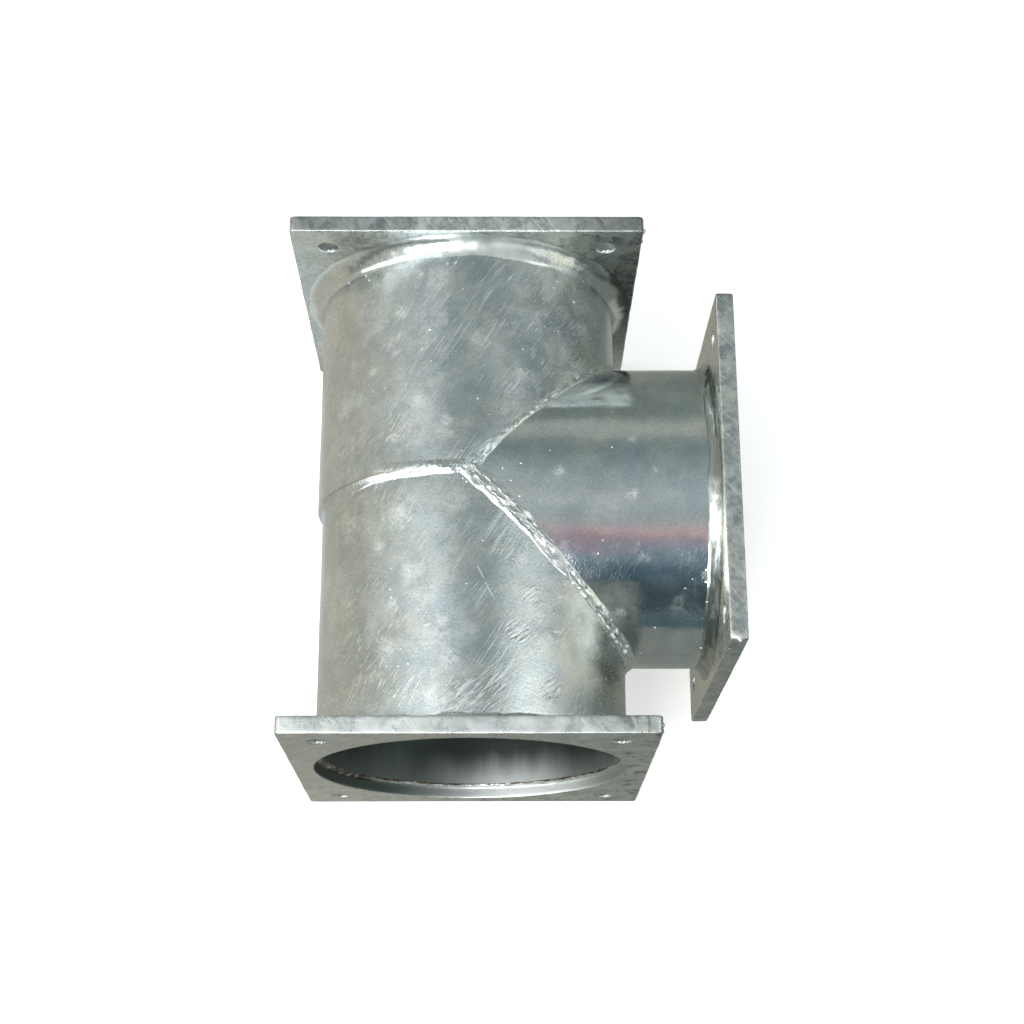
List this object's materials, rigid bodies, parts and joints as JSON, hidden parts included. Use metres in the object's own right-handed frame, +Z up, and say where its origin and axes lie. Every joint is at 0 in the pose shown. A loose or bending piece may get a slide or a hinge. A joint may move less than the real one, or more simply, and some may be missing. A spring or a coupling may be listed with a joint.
{
  "type": "pipe tee",
  "caption": "Equal pipe tee of mitred, welded and hot-dip galvanised steel pipe, with a square bolted flange on each leg.",
  "frame": {"origin": "centre of the front flange's face, where the run's axis meets it", "axes": "+Y along the run, from the front flange to the rear one; +X along the branch; +Z up, with the tee lying on the lower edges of its flanges"},
  "size_m": [0.3104, 0.37, 0.25],
  "materials": {
    "pipe_zinc": "hot-dip galvanised, mottled, satin to glossy, with fine scratches",
    "flange_zinc": "hot-dip galvanised plate, satin, with zinc drips on the edges",
    "weld_zinc": "galvanised weld bead, bright and rippled"
  },
  "bodies": {
    "root": {"front_flange": "flange_zinc", "rear_flange": "flange_zinc", "branch_flange": "flange_zinc", "front_pipe": "pipe_zinc", "rear_pipe": "pipe_zinc", "branch_pipe": "pipe_zinc", "front_flange_weld": "weld_zinc", "rear_flange_weld": "weld_zinc", "branch_flange_weld": "weld_zinc", "front_inner_weld": "weld_zinc", "rear_inner_weld": "weld_zinc", "branch_inner_weld": "weld_zinc", "back_seam_weld": "weld_zinc", "front_mitre_weld": "weld_zinc", "rear_mitre_weld": "weld_zinc"}
  },
  "joints": []
}
